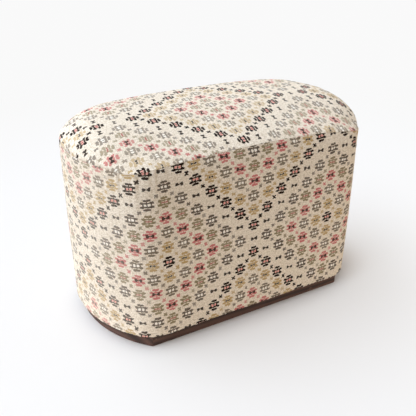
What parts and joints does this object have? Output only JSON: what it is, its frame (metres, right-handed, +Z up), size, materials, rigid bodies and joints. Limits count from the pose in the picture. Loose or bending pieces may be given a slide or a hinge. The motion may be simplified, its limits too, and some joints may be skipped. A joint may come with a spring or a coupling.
{
  "type": "upholstered ottoman",
  "caption": "Upholstered ottoman with a flat front, bulging sides and a crowned padded top, covered in patterned flat-woven cloth, on a low recessed wooden plinth.",
  "frame": {"origin": "on the floor, under the middle of the outline, half-way from front to back", "axes": "+Z up, +X to the right along the flat front, +Y from the flat front to the bowed back"},
  "size_m": [0.6096, 0.3468, 0.406],
  "materials": {
    "kilim": "flat-woven wool, cream, with small rosettes in black, ochre, grey, pink and olive",
    "stained_wood": "dark brown stain, satin, worn along the edges",
    "hardwood": "bare beech",
    "plywood": "bare birch plywood",
    "softwood": "bare planed pine",
    "webbing": "woven jute strap",
    "tack_steel": "blued steel",
    "hessian": "coarse jute cloth",
    "foam": "open-cell polyurethane foam",
    "wadding": "polyester wadding",
    "black_cloth": "spun black dust cloth"
  },
  "bodies": {
    "root": {"back_left_post": "softwood", "back_right_post": "softwood", "back_wall": "plywood", "base_board": "plywood", "batting": "wadding", "dust_cover": "black_cloth", "foam_pad": "foam", "front_left_post": "softwood", "front_panel": "plywood", "front_right_post": "softwood", "hessian": "hessian", "left_post": "softwood", "left_wall": "plywood", "plinth_back": "stained_wood", "plinth_back_left": "stained_wood", "plinth_back_right": "stained_wood", "plinth_front": "stained_wood", "plinth_left": "stained_wood", "plinth_right": "stained_wood", "plinth_splines": "hardwood", "plinth_tongues": "hardwood", "right_post": "softwood", "right_wall": "plywood", "side_cover": "kilim", "side_padding": "wadding", "top_cover": "kilim", "top_ring": "plywood", "webbing_cross_1": "webbing", "webbing_cross_2": "webbing", "webbing_cross_3": "webbing", "webbing_cross_4": "webbing", "webbing_cross_5": "webbing", "webbing_long_1": "webbing", "webbing_long_2": "webbing", "webbing_long_3": "webbing", "webbing_tacks": "tack_steel"}
  },
  "joints": []
}
